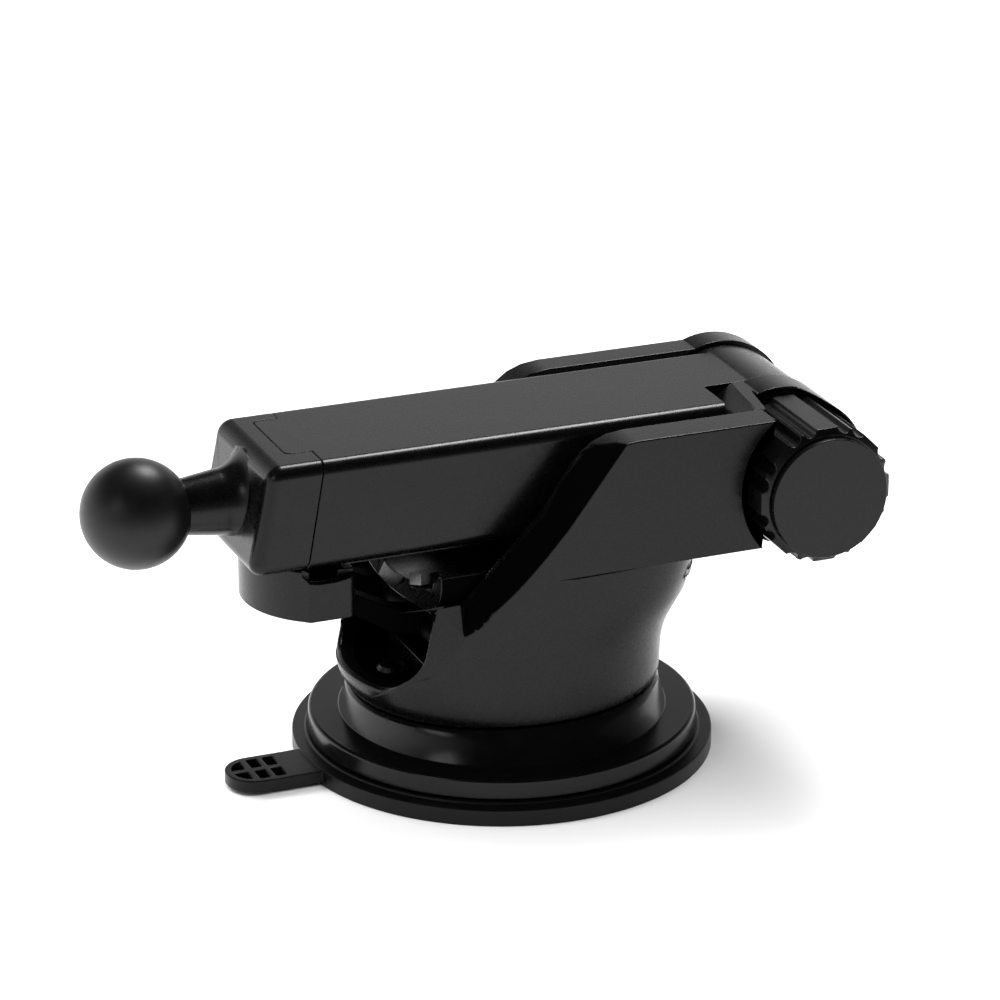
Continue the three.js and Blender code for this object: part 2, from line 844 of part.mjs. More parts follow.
add(
  "lever_pin",
  cylinderY(LEVER_PIN_R, -16.3, 16.3, LEVER_PIN_X, LEVER_PIN_Z, 32),
  STEEL,
  0.3,
  1.0,
);

// ---- block the lever snaps onto ----
add("lever_catch", prismX(catchOutline(0), -18.2, -15.3), BLACK, 0.4, 0.0);

// ---- arm: sleeve with barrel, bottom cover, slider, end cap, ball ----
const BORE_HALF = 10.2;
const BORE_Z0 = 41.0;
const BORE_Z1 = 53.4;
const SLIDER_X0 = -36.9;
const SLIDER_X1 = 22.0;
const COVER_HALF = 10.0;
const COVER_Z0 = 37.9;
const COVER_Z1 = 39.9;
const COVER_X0 = -29.5;
const COVER_X1 = 27.0;
const TONGUE_Y0 = -6.8;
const TONGUE_Y1 = 8.5;
const TONGUE_X = -37.6;
const COVER_SCREWS = [
  [-26.0, -0.5],
  [23.5, -0.5],
];

function armSection() {
  return roundedRect(-ARM_HALF, ARM_HALF, ARM_Z0, ARM_Z1, ARM_EDGE_R);
}

// Everything in front of a plane that crosses the arm with the given lean.
function inFrontOf(x, lean) {
  return prismY(
    [
      [x, ARM_Z1],
      [x + 10 * lean, ARM_Z1 + 10],
      [-80, ARM_Z1 + 10],
      [-80, 20],
      [x - (ARM_Z1 - 20) * lean, 20],
    ],
    -40,
    40,
  );
}

function makeSleeve() {
  const beam = prismX(armSection(), -45, PIVOT_X - 2);
  const barrel = cylinderY(BARREL_R, BARREL_Y0, ARM_HALF, PIVOT_X, PIVOT_Z, 80);
  const tongue = box(TONGUE_X, SEAM_X + 1, TONGUE_Y0, TONGUE_Y1, 53.6, ARM_Z1);
  const notch = cylinderY(NOTCH_R, -30, BARREL_Y0, PIVOT_X, PIVOT_Z, 96);
  const bore = box(-60, SLIDER_X1 + 2, -BORE_HALF, BORE_HALF, BORE_Z0, BORE_Z1);
  const recess = box(
    COVER_X0 - GAP,
    COVER_X1 + GAP,
    -COVER_HALF - GAP,
    COVER_HALF + GAP,
    20,
    COVER_Z1 + GAP,
  );
  const front = cut(beam, inFrontOf(SEAM_X, 0.175), notch);
  const bolt = cylinderY(BOLT_HOLE_R, -40, 40, PIVOT_X, PIVOT_Z, 40);
  const screws = COVER_SCREWS.map(([x, y]) => cylinderZ(0.86, 30, 42, x, y, 16));
  return cut(join(front, barrel, tongue), bore, recess, bolt, ...screws);
}

function makeCover() {
  const plate = box(COVER_X0, COVER_X1, -COVER_HALF, COVER_HALF, COVER_Z0, COVER_Z1);
  const holes = COVER_SCREWS.map(([x, y]) => cylinderZ(0.98, 30, 42, x, y, 16));
  const sinks = COVER_SCREWS.map(([x, y]) => cylinderZ(2.1, 30, COVER_Z0 + 1.2, x, y, 24));
  return cut(plate, ...holes, ...sinks);
}

function makeSlider() {
  const h = BORE_HALF - GAP;
  const outer = box(SLIDER_X0, SLIDER_X1, -h, h, BORE_Z0 + GAP, BORE_Z1 - GAP);
  const inner = box(SLIDER_X0 + 3, 30, -h + 2, h - 2, BORE_Z0 + GAP + 2, BORE_Z1 - GAP - 2);
  return cut(outer, inner);
}

function makeCap() {
  const beam = prismX(armSection(), -60, -20);
  const behind = inFrontOf(SEAM_X - GAP, 0.175);
  const front = inFrontOf(CAP_FRONT_X, CAP_LEAN);
  const h = BORE_HALF;
  const socket = box(SLIDER_X0 - GAP, -10, -h, h, BORE_Z0, BORE_Z1);
  const notch = box(
    TONGUE_X - GAP,
    -10,
    TONGUE_Y0 - GAP,
    TONGUE_Y1 + GAP,
    53.2,
    ARM_Z1 + 5,
  );
  const stem = turnedX(
    [
      [0, -60.0],
      [3.0, -60.0],
      [3.0, -52.0],
      [4.35, -52.0],
      [5.2, -45.6],
      [6.0, -44.5],
      [8.4, -43.6],
      [8.4, -40.0],
      [0, -40.0],
    ],
    0,
    BALL_Z,
    40,
  );
  const body = cut(beam.intersect(behind), front, socket, notch);
  return join(body, stem);
}

add("arm_sleeve", makeSleeve(), BLACK, 0.42, 0.0);
add("arm_bottom_cover", makeCover(), BLACK, 0.45, 0.0);
COVER_SCREWS.forEach(([x, y], i) => {
  const z = COVER_Z0 + 1.2 - GAP;
  const head = cylinderZ(1.8, COVER_Z0 + 0.1, z, x, y, 24);
  const shaft = cylinderZ(0.8, z - 0.2, 41.6 - GAP, x, y, 16);
  const cross = join(
    box(x - 1.0, x + 1.0, y - 0.2, y + 0.2, 30, COVER_Z0 + 0.5),
    box(x - 0.2, x + 0.2, y - 1.0, y + 1.0, 30, COVER_Z0 + 0.5),
  );
  const short = cylinderZ(3, 40.75, 45, x, y, 16);
  add(`cover_screw_${i + 1}`, cut(join(head, shaft), cross, short), DARK_STEEL, 0.4, 0.9);
});
add("inner_slider", makeSlider(), NYLON, 0.5, 0.0);
add("end_cap", makeCap(), BLACK, 0.42, 0.0);

function makeBall() {
  const g = new THREE.SphereGeometry(BALL_R, 32, 18);
  g.rotateZ(Math.PI / 2);
  g.translate(BALL_X, 0, BALL_Z);
  const stemEnd = box(-52.0 - 0.12, -40, -20, 20, 30, 60);
  const pole = box(-80, BALL_X - 8.2, -20, 20, 30, 60);
  const bore = cylinderX(3.06, -60.4, -40, 0, BALL_Z, 40);
  return cut(solid(g), stemEnd, pole, bore);
}
add("ball", makeBall(), RUBBER, 0.5, 0.0);

// ---- clamp knob, washer and bolt ----
function knobOutline(count) {
  const step = (2 * Math.PI) / count;
  const points = [];
  for (let i = 0; i < count; i += 1) {
    const a = i * step;
    const wide = i % 2 === 0 ? 0.62 : 0.24;
    const land = (step / 2) * wide;
    const bottom = KNOB_R - 0.85;
    for (const [t, r] of [
      [-land, KNOB_R],
      [0, KNOB_R],
      [land, KNOB_R],
    ]) {
      points.push([r * Math.cos(a + t), r * Math.sin(a + t)]);
    }
    const next = (i + 1) % 2 === 0 ? 0.62 : 0.24;
    const from = a + land;
    const to = a + step - (step / 2) * next;
    for (const u of [0.25, 0.5, 0.75]) {
      const drop = u === 0.5 ? bottom : bottom + 0.22;
      const t = from + (to - from) * u;
      points.push([drop * Math.cos(t), drop * Math.sin(t)]);
    }
  }
  return points;
}

function makeKnob() {
  const outline = knobOutline(16).map((p) => [p[0] + PIVOT_X, p[1] + PIVOT_Z]);
  const grip = prismY(outline, KNOB_BODY_Y0, KNOB_BODY_Y1);
  const insert = cylinderY(4.5, -22.0, 0, PIVOT_X, PIVOT_Z, 40);
  const clear = cylinderY(2.9, -26, 0, PIVOT_X, PIVOT_Z, 32);
  const face = cylinderY(7.8, -40, -25.4, PIVOT_X, PIVOT_Z, 48);
  return cut(grip, insert, clear, face);
}
add("knob_body", makeKnob(), BLACK, 0.4, 0.0);

add(
  "knob_cap",
  turnedY(
    [
      [0, KNOB_FACE_Y],
      [KNOB_FACE_R - 0.25, KNOB_FACE_Y],
      [KNOB_FACE_R, KNOB_FACE_Y + 0.25],
      [KNOB_FACE_R, KNOB_BODY_Y0 - GAP],
      [7.5, KNOB_BODY_Y0 - GAP],
      [7.5, -25.7],
      [0, -25.7],
    ],
    PIVOT_X,
    PIVOT_Z,
    64,
  ),
  BLACK,
  0.38,
  0.0,
);

add(
  "knob_insert",
  cut(
    cylinderY(4.2, -21.7, KNOB_BODY_Y1, PIVOT_X, PIVOT_Z, 24),
    cylinderY(BOLT_R + 0.06, -40, 0, PIVOT_X, PIVOT_Z, 40),
  ),
  BRASS,
  0.35,
  1.0,
);

add(
  "thrust_washer",
  cut(
    cylinderY(7.0, KNOB_BODY_Y1 + GAP, KNUCKLE_Y0 - GAP, PIVOT_X, PIVOT_Z, 48),
    cylinderY(3.0, -40, 0, PIVOT_X, PIVOT_Z, 40),
  ),
  STEEL,
  0.3,
  1.0,
);

add(
  "clamp_bolt",
  join(
    cylinderY(BOLT_R, -24.5, FAR_OUT - 1.5, PIVOT_X, PIVOT_Z, 40),
    cylinderY(4.4, FAR_OUT - 2.4 + GAP, FAR_OUT - 0.2, PIVOT_X, PIVOT_Z, 6),
  ),
  STEEL,
  0.3,
  1.0,
);

export default root;
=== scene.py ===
"""Looks of the phone mount base: shells, knob, lever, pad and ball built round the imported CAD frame."""

import math

import bmesh
import bpy
from mathutils import Matrix, Vector


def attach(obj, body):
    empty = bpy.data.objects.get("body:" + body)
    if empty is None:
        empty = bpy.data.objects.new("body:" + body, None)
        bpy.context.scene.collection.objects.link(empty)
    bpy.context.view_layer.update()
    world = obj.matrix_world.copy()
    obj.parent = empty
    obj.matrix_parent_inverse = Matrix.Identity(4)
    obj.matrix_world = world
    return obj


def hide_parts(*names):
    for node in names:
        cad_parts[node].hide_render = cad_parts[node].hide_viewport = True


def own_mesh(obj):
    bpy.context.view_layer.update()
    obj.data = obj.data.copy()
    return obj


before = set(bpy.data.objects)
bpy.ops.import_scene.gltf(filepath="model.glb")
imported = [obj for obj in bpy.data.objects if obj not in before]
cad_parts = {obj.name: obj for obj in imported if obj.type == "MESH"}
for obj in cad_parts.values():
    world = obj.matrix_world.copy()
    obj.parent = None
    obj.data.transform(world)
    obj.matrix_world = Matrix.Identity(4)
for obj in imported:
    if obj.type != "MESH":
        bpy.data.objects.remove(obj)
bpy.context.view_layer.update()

# ---- driving dimensions, in millimetres, in the CAD frame ----
MM = 0.001
GAP = 0.3

PAD_R = 33.15
PAD_T = 2.7
PAD_STEP_R = 31.15
TAB_END_X = -46.6
TAB_Y0 = -6.55
TAB_Y1 = 2.85
TAB_Z0 = 0.6
TAB_Z1 = 2.6

RING_R = 30.7
RING_Z0 = 3.4
RING_Z1 = 6.5
SKIRT_R = 25.8
SKIRT_Z1 = 11.3
DECK_T = 2.0

COLUMN_Z0 = 11.6
FLOOR_TOP = 14.1
WALL = 2.6
FRAME_TOP = 31.0

PIVOT_X = 42.8
PIVOT_Z = 44.6

NEAR_OUT = -22.1
NEAR_IN = -16.2
FAR_IN = 13.1
FAR_OUT = 18.2
CHEEK_TOP = 55.85
CHEEK_BOTTOM = 35.1
CHEEK_FOOT_X = -14.0
RIM_Y = -17.0
FAR_END_R = 12.0

CORE_HALF = 15.5
CORE_TIP_X = -19.6
CORE_ARC_R = 56.0
CORE_Z0 = 29.7
CORE_Z1 = 35.6
DISH_R = 32.5
DISH_Z = 31.9

POCKET_NEAR = 15.4
POCKET_FAR = 13.6
POCKET_Z0 = 16.3
POCKET_R = 7.0

ARM_HALF = 12.75
ARM_Z0 = 38.6
ARM_Z1 = 55.7
ARM_EDGE_R = 2.0
SEAM_X = -33.4
SEAM_LEAN = 0.175
CAP_FRONT_X = -42.1
CAP_LEAN = 0.2
BARREL_R = 11.4
BARREL_Y0 = -3.2
NOTCH_R = 14.9
BORE_HALF = 10.2
BORE_Z0 = 41.0
BORE_Z1 = 53.4
SLIDER_X0 = -36.9
SLIDER_X1 = 22.0
TONGUE_Y0 = -6.8
TONGUE_Y1 = 8.5
TONGUE_X = -37.6

KNUCKLE_Y1 = -3.5
KNUCKLE_Y0 = -9.5
KNUCKLE_R = 11.8
RECESS_R = 11.3
MOUTH_X = 45.1
MOUTH_R = 14.0
HOLLOW_HALF = 11.2
BOLT_HOLE_R = 2.58

KNOB_R = 10.98
KNOB_FACE_R = 9.6
KNOB_FACE_Y = -28.7
KNOB_Y0 = -27.4
KNOB_Y1 = -10.9

BALL_X = -59.3
BALL_Z = 46.9
BALL_R = 8.5

LEVER_PIN_X = -15.0
LEVER_PIN_Z = 25.6
LEVER_PIN_HOLE_R = 1.56
LEVER_HALF = 12.2
LEVER_Z0 = 30.0
LEVER_Z1 = 38.2

POST_HOLE_R = 4.1
SPRING_Z0 = 4.8
SPRING_Z1 = 9.1
BASE_SCREW_R = 18.5
BASE_SCREW_ANGLES = (180, 320, 40)


# ---- outlines ----
def arc(cx, cy, r, start, end, steps):
    """Points on a circle from one angle to another, in degrees."""
    points = []
    for i in range(steps + 1):
        a = math.radians(start + (end - start) * i / steps)
        points.append((cx + r * math.cos(a), cy + r * math.sin(a)))
    return points


def rounded(corners, steps=8):
    """An outline through corners (x, y, radius), each turned into an arc of its radius."""
    out = []
    count = len(corners)
    for i, (x, y, radius) in enumerate(corners):
        here = Vector((x, y))
        if radius == 0:
            out.append((x, y))
            continue
        u = (Vector(corners[i - 1][:2]) - here).normalized()
        v = (Vector(corners[(i + 1) % count][:2]) - here).normalized()
        half = u.angle(v) / 2
        middle = here + (u + v).normalized() * (radius / math.sin(half))
        start = here + u * (radius / math.tan(half)) - middle
        end = here + v * (radius / math.tan(half)) - middle
        first = math.atan2(start.y, start.x)
        sweep = math.atan2(end.y, end.x) - first
        sweep = (sweep + math.pi) % (2 * math.pi) - math.pi
        for k in range(steps + 1):
            a = first + sweep * k / steps
            out.append((middle.x + radius * math.cos(a), middle.y + radius * math.sin(a)))
    return out


def rounded_rect(x0, x1, y0, y1, radius, steps=8):
    corners = [(x0, y0, radius), (x1, y0, radius), (x1, y1, radius), (x0, y1, radius)]
    return rounded(corners, steps)


def oval(z, front, back, near, far, power, steps, corner=None):
    """A ring at height z with its own half length to each side. A power of 2 is an ellipse.

    corner is the power of the quarter towards +X and -Y, if it differs from the rest."""
    ring = []
    for i in range(steps):
        a = 2 * math.pi * i / steps
        c, s = math.cos(a), math.sin(a)
        own = corner if corner and c > 0 and s < 0 else power
        rx = front if c < 0 else back
        ry = near if s < 0 else far
        x = math.copysign(rx * abs(c) ** (2 / own), c)
        y = math.copysign(ry * abs(s) ** (2 / own), s)
        ring.append((x, y, z))
    return ring


# ---- solids, in millimetres ----
def solid(verts, faces):
    mesh = bpy.data.meshes.new("solid")
    mesh.from_pydata([tuple(v) for v in verts], [], faces)
    bm = bmesh.new()
    bm.from_mesh(mesh)
    bmesh.ops.remove_doubles(bm, verts=bm.verts, dist=1e-5)
    bmesh.ops.recalc_face_normals(bm, faces=bm.faces)
    bm.to_mesh(mesh)
    bm.free()
    return mesh


def loft(rings):
    """Rings with equal counts, skinned one to the next and closed by a face at both ends."""
    count = len(rings[0])
    verts = [p for ring in rings for p in ring]
    faces = [tuple(range(count)), tuple(range(len(verts) - count, len(verts)))]
    for k in range(len(rings) - 1):
        low = k * count
        high = low + count
        for i in range(count):
            j = (i + 1) % count
            faces.append((low + i, low + j, high + j, high + i))
    return solid(verts, faces)


def prism(axis, outline, lo, hi):
    """An outline pushed along an axis. It is in Y and Z for x, in X and Z for y, in X and Y for z."""
    place = {
        "x": lambda a, b, c: (c, a, b),
        "y": lambda a, b, c: (a, c, b),
        "z": lambda a, b, c: (a, b, c),
    }[axis]
    return loft([[place(a, b, end) for a, b in outline] for end in (lo, hi)])


def box(x0, x1, y0, y1, z0, z1):
    return prism("z", [(x0, y0), (x1, y0), (x1, y1), (x0, y1)], z0, z1)


def cylinder(axis, r, lo, hi, a, b, steps=96):
    """A round bar along an axis through (a, b), given in the order that prism uses."""
    return prism(axis, arc(a, b, r, 0, 360, steps)[:-1], lo, hi)


def turned(axis, profile, a, b, steps=128):
    """A closed profile of (radius, distance along the axis), turned about the line through (a, b)."""
    verts, faces = [], []
    count = len(profile)
    place = {
        "x": lambda u, v, h: (h, a + u, b + v),
        "y": lambda u, v, h: (a + u, h, b + v),
        "z": lambda u, v, h: (a + u, b + v, h),
    }[axis]
    for i in range(steps):
        t = 2 * math.pi * i / steps
        for r, h in profile:
            verts.append(place(r * math.cos(t), r * math.sin(t), h))
    for i in range(steps):
        j = (i + 1) % steps
        for k in range(count):
            m = (k + 1) % count
            if profile[k][0] == 0 and profile[m][0] == 0:
                continue
            ring = [i * count + k, j * count + k, j * count + m, i * count + m]
            if profile[k][0] == 0:
                ring.remove(j * count + k)
            if profile[m][0] == 0:
                ring.remove(j * count + m)
            faces.append(tuple(ring))
    return solid(verts, faces)


def evaluated(mesh, add_modifiers):
    """The mesh after the modifiers that add_modifiers puts on an object holding it."""
    work = bpy.data.objects.new("work", mesh)
    bpy.context.scene.collection.objects.link(work)
    add_modifiers(work)
    graph = bpy.context.evaluated_depsgraph_get()
    result = bpy.data.meshes.new_from_object(work.evaluated_get(graph), depsgraph=graph)
    bpy.data.objects.remove(work)
    return result


def combine(mesh, operation, tools):
    helpers = []
    for tool in tools:
        helper = bpy.data.objects.new("tool", tool)
        bpy.context.scene.collection.objects.link(helper)
        helpers.append(helper)

    def add_modifiers(work):
        for helper in helpers:
            modifier = work.modifiers.new("boolean", "BOOLEAN")
            modifier.operation = operation
            modifier.solver = "MANIFOLD"
            modifier.object = helper

    result = evaluated(mesh, add_modifiers)
    for helper in helpers:
        bpy.data.objects.remove(helper)
    return result


def join(mesh, *others):
    return combine(mesh, "UNION", others)


def cut(mesh, *tools):
    return combine(mesh, "DIFFERENCE", tools)


def common(mesh, *others):
    return combine(mesh, "INTERSECT", others)


def tidy(mesh, angle=0.4):
    """Merges points that fall together and faces that lie in one plane."""
    bm = bmesh.new()
    bm.from_mesh(mesh)
    bmesh.ops.remove_doubles(bm, verts=bm.verts, dist=0.004)
    bmesh.ops.dissolve_degenerate(bm, edges=bm.edges, dist=0.004)
    bmesh.ops.dissolve_limit(
        bm, angle_limit=math.radians(angle), verts=bm.verts, edges=bm.edges, use_dissolve_boundaries=False
    )
    bm.to_mesh(mesh)
    bm.free()
    return mesh


def soften(mesh, width, segments=4, angle=32.0, wide=None):
    """Rounds the sharp edges. wide(middle of an edge) may give some edges a width of their own."""
    tidy(mesh)
    widest = width
    bm = bmesh.new()
    bm.from_mesh(mesh)
    weight = bm.edges.layers.float.new("bevel_weight_edge")
    sharp = []
    for edge in bm.edges:
        if len(edge.link_faces) != 2 or edge.calc_face_angle(0) < math.radians(angle):
            continue
        thinnest = min(face.calc_area() for face in edge.link_faces) / max(edge.calc_length(), 1e-6)
        if thinnest < 0.03:
            continue
        middle = (edge.verts[0].co + edge.verts[1].co) / 2
        own = (wide(middle) if wide else None) or width
        widest = max(widest, own)
        sharp.append((edge, own))
    for edge, own in sharp:
        edge[weight] = own / widest
    bm.to_mesh(mesh)
    bm.free()

    def add_modifiers(work):
        bevel = work.modifiers.new("bevel", "BEVEL")
        bevel.limit_method = "WEIGHT"
        bevel.width = widest
        bevel.segments = segments
        bevel.use_clamp_overlap = False
        bevel.miter_outer = "MITER_ARC"

    return evaluated(mesh, add_modifiers)


# ---- materials ----
def shader(name):
    material = bpy.data.materials.new(name)
    material.use_nodes = True
    tree = material.node_tree
    return material, tree, tree.nodes["Principled BSDF"]


def noise(tree, scale, detail=2.0, rough=0.5):
    coords = tree.nodes.new("ShaderNodeTexCoord")
    texture = tree.nodes.new("ShaderNodeTexNoise")
    texture.inputs["Scale"].default_value = scale
    texture.inputs["Detail"].default_value = detail
    texture.inputs["Roughness"].default_value = rough
    tree.links.new(coords.outputs["Object"], texture.inputs["Vector"])
    return texture.outputs["Fac"]


def spread(tree, value, low, high):
    """Maps a noise value, which mostly lies between 0.3 and 0.7, to a range."""
    mapped = tree.nodes.new("ShaderNodeMapRange")
    mapped.inputs["From Min"].default_value = 0.3
    mapped.inputs["From Max"].default_value = 0.7
    mapped.inputs["To Min"].default_value = low
    mapped.inputs["To Max"].default_value = high
    tree.links.new(value, mapped.inputs["Value"])
    return mapped.outputs["Result"]


def two_tone(tree, bsdf, value, dark, light):
    ramp = tree.nodes.new("ShaderNodeMix")
    ramp.data_type = "RGBA"
    ramp.inputs["A"].default_value = (*dark, 1)
    ramp.inputs["B"].default_value = (*light, 1)
    tree.links.new(value, ramp.inputs["Factor"])
    tree.links.new(ramp.outputs["Result"], bsdf.inputs["Base Color"])


def grain(tree, bsdf, scale, strength, distance):
    bump = tree.nodes.new("ShaderNodeBump")
    bump.inputs["Strength"].default_value = strength
    bump.inputs["Distance"].default_value = distance
    tree.links.new(noise(tree, scale, 3.0, 0.6), bump.inputs["Height"])
    tree.links.new(bump.outputs["Normal"], bsdf.inputs["Normal"])


def moulded(name, tone, rough, grain_scale=3800.0, grain_strength=0.25, specular=0.5):
    """Black moulded plastic: fine spark-eroded grain, faint clouding and uneven gloss."""
    material, tree, bsdf = shader(name)
    dark = tuple(tone * 0.82 for _ in range(3))
    light = (tone * 1.2, tone * 1.2, tone * 1.26)
    two_tone(tree, bsdf, spread(tree, noise(tree, 420.0), 0, 1), dark, light)
    gloss = spread(tree, noise(tree, 900.0, 4.0), rough - 0.02, rough + 0.03)
    tree.links.new(gloss, bsdf.inputs["Roughness"])
    bsdf.inputs["Specular IOR Level"].default_value = specular
    grain(tree, bsdf, grain_scale, grain_strength, 0.00002)
    return material


def metal(name, colour, rough, grain_scale=2500.0):
    """Plated or machined metal with fine tool marks."""
    material, tree, bsdf = shader(name)
    bsdf.inputs["Metallic"].default_value = 1.0
    dark = tuple(c * 0.8 for c in colour)
    two_tone(tree, bsdf, spread(tree, noise(tree, 700.0, 4.0), 0, 1), dark, colour)
    tree.links.new(spread(tree, noise(tree, 300.0, 4.0), rough - 0.06, rough + 0.1), bsdf.inputs["Roughness"])
    grain(tree, bsdf, grain_scale, 0.2, 0.00002)
    return material


shell_plastic = moulded("shell_plastic", 0.0016, 0.27, specular=0.24)
arm_plastic = moulded("arm_plastic", 0.0016, 0.26, grain_scale=4200.0, specular=0.25)
knob_plastic = moulded("knob_plastic", 0.0016, 0.28, specular=0.27)
ring_plastic = moulded("ring_plastic", 0.0018, 0.21, grain_strength=0.1, specular=0.27)
# painted shade: near-black matt plastic with almost no reflection, so the faces it is given look unlit
painted_shade_plastic = moulded("painted_shade_plastic", 0.0004, 0.6, specular=0.02)
pad_rubber = moulded("pad_rubber", 0.002, 0.36, grain_scale=2600.0, specular=0.2)
ball_rubber = moulded("ball_rubber", 0.0025, 0.4, grain_scale=3000.0, specular=0.32)
nylon = moulded("nylon", 0.03, 0.42)
steel = metal("steel", (0.56, 0.57, 0.58), 0.28)
dark_steel = metal("dark_steel", (0.09, 0.09, 0.095), 0.3)
brass = metal("brass", (0.66, 0.5, 0.22), 0.3)


# ---- putting a finished solid into the scene ----
def paint_shade_on_faces(mesh, test):
    """Gives the second material slot, the painted shade, to the faces that the test picks out."""
    for polygon in mesh.polygons:
        if test(polygon.center, polygon.normal):
            polygon.material_index = 1
    return mesh


def piece(name, mesh, body, material, slot, *nodes, inside=None, crease=26):
    """A mesh in millimetres becomes a smooth shaded object in metres that stands for the CAD nodes.

    Edges that turn by more than crease degrees stay sharp."""
    mesh.name = name
    mesh.materials.clear()
    mesh.materials.append(material)
    # inside picks the faces that take the painted shade
    if inside:
        mesh.materials.append(painted_shade_plastic)
        paint_shade_on_faces(mesh, inside)
    mesh.transform(Matrix.Scale(MM, 4))
    for polygon in mesh.polygons:
        polygon.use_smooth = True
    mesh.set_sharp_from_angle(angle=math.radians(crease))
    obj = bpy.data.objects.new(name, mesh)
    bpy.context.scene.collection.objects.link(obj)
    normals = obj.modifiers.new("normals", "WEIGHTED_NORMAL")
    normals.keep_sharp = True
    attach(obj, body)
    if nodes:
        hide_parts(*nodes)
    return obj


def paint(node, material):
    """A CAD node whose shape is right keeps it and takes a procedural material."""
    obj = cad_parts[node]
    obj.data.materials.clear()
    obj.data.materials.append(material)


# ---- suction pad with its pull tab ----
def tab_outline(inset):
    end = 4.5 - inset
    return rounded(
        [
            (TAB_END_X + inset, TAB_Y0 + inset, end),
            (-30 - inset, TAB_Y0 + inset, 0),
            (-30 - inset, TAB_Y1 - inset, 0),
            (TAB_END_X + inset, TAB_Y1 - inset, end),
        ],
        14,
    )


def pad_mesh():
    disc = turned(
        "z",
        [
            (0, 0),
            (PAD_R, 0),
            (PAD_R, PAD_T),
            (PAD_STEP_R, PAD_T),
            (PAD_STEP_R, PAD_T + 0.4),
            (0, PAD_T + 0.4),
        ],
        0,
        0,
        192,
    )
    tab = prism("z", tab_outline(0), TAB_Z0, TAB_Z1)
    mould = prism("z", tab_outline(1.05), TAB_Z1 - 1.4, TAB_Z1 + 1)
    body = join(disc, tab)
    for x0, x1 in ((-45.9, -43.35), (-42.25, -40.55), (-39.65, -37.95)):
        for y0, y1 in ((-5.75, -2.5), (-1.35, 1.8)):
            body = cut(body, common(box(x0, x1, y0, y1, 0, 5), mould))
    return soften(body, 0.22)


# ---- base ring and skirt ----
BASE_SCREWS = [
    (BASE_SCREW_R * math.cos(math.radians(a)), BASE_SCREW_R * math.sin(math.radians(a)))
    for a in BASE_SCREW_ANGLES
]


def ring_mesh():
    outer = turned(
        "z",
        [
            (0, RING_Z0),
            (RING_R, RING_Z0),
            (RING_R - 0.1, RING_Z1 - 0.6),
            *[(RING_R - 0.65 + x, RING_Z1 - 0.55 + y) for x, y in arc(0, 0, 0.55, 5, 90, 6)],
            (0, RING_Z1),
        ],
        0,
        0,
        192,
    )
    steps = 160
    skirt = loft(
        [
            oval(RING_Z1 - 1.0, 25.85, 25.85, 25.85, 25.85, 2, steps),
            oval(RING_Z1, SKIRT_R, SKIRT_R, SKIRT_R, SKIRT_R, 2, steps),
            oval(7.6, 25.45, 25.45, 24.85, 24.85, 2.01, steps),
            oval(8.8, 25.15, 25.15, 24.05, 24.05, 2.02, steps),
            oval(10.0, 24.95, 24.95, 23.35, 23.35, 2.04, steps),
            oval(SKIRT_Z1 - 0.5, 24.85, 24.85, 22.75, 22.75, 2.05, steps),
            oval(SKIRT_Z1, 24.4, 24.4, 22.2, 22.2, 2.05, steps),
        ]
    )
    hollow = turned(
        "z",
        [
            (0, RING_Z0 - 1),
            (28.6, RING_Z0 - 1),
            (28.6, 5.2),
            (22.6, 5.4),
            (20.2, SKIRT_Z1 - DECK_T),
            (0, SKIRT_Z1 - DECK_T),
        ],
        0,
        0,
        96,
    )
    holes = [cylinder("z", 1.32, 4, 13, x, y, 32) for x, y in BASE_SCREWS]
    return soften(cut(join(outer, skirt), hollow, cylinder("z", POST_HOLE_R, 4, 13, 0, 0, 48), *holes), 0.15)


# ---- housing ----
COLUMN_STEPS = 176
# Height, half lengths and half widths, the ring's power and the power of its +X -Y quarter.
COLUMN_LEVELS = [
    (COLUMN_Z0, 24.2, 24.3, 22.0, 22.0, 2.05, 2.05),
    (COLUMN_Z0 + 0.3, 24.65, 24.65, 22.25, 22.25, 2.05, 2.05),
    (12.6, 25.2, 24.95, 22.35, 22.35, 2.055, 2.055),
    (13.6, 25.75, 25.05, 22.4, 22.4, 2.06, 2.06),
    (14.8, 26.2, 25.1, 22.4, 22.4, 2.07, 2.07),
    (16.0, 26.35, 25.15, 22.4, 22.35, 2.075, 2.075),
    (17.5, 26.4, 25.25, 22.35, 22.25, 2.08, 2.08),
    (19.0, 26.4, 25.5, 22.28, 22.1, 2.1, 2.1),
    (20.5, 26.36, 25.9, 22.22, 21.8, 2.12, 2.12),
    (22.0, 26.3, 26.6, 22.15, 21.5, 2.14, 2.14),
    (23.5, 26.25, 27.35, 22.12, 21.1, 2.17, 2.22),
    (25.0, 26.2, 27.95, 22.1, 20.65, 2.21, 2.35),
    (27.0, 26.1, 28.45, 22.1, 20.0, 2.26, 2.6),
    (30.0, 26.0, 28.5, 22.1, 19.2, 2.3, 3.0),
    (33.0, 26.0, 28.6, 22.1, 18.5, 2.3, 3.3),
    (36.0, 26.0, 28.9, 22.1, 18.2, 2.3, 3.3),
    (60.0, 26.0, 28.9, 22.1, 18.2, 2.3, 3.3),
]


def block_over(point, u, v):
    """A large block that rests on the plane through a point along u and v, on the side of u x v."""
    u = Vector(u).normalized()
    normal = u.cross(Vector(v)).normalized()
    block = box(-80, 80, -80, 80, 0, 80)
    turn = Matrix((u, normal.cross(u), normal)).transposed().to_4x4()
    block.transform(Matrix.Translation(point) @ turn)
    return block


def cheek_front(z0):
    """The front edge of a cheek from low to high: a steady slope that steepens and rounds over."""
    slope = [(-14.5, z0), (-13.3, 31.2), (0.9, 45.6), (3.3, 49.5), (4.7, 51.5)]
    crown = [(6.4, 53.3), (8.2, 54.6), (10.6, 55.5), (13.4, CHEEK_TOP)]
    return [(x, z, 0) for x, z in slope + crown]


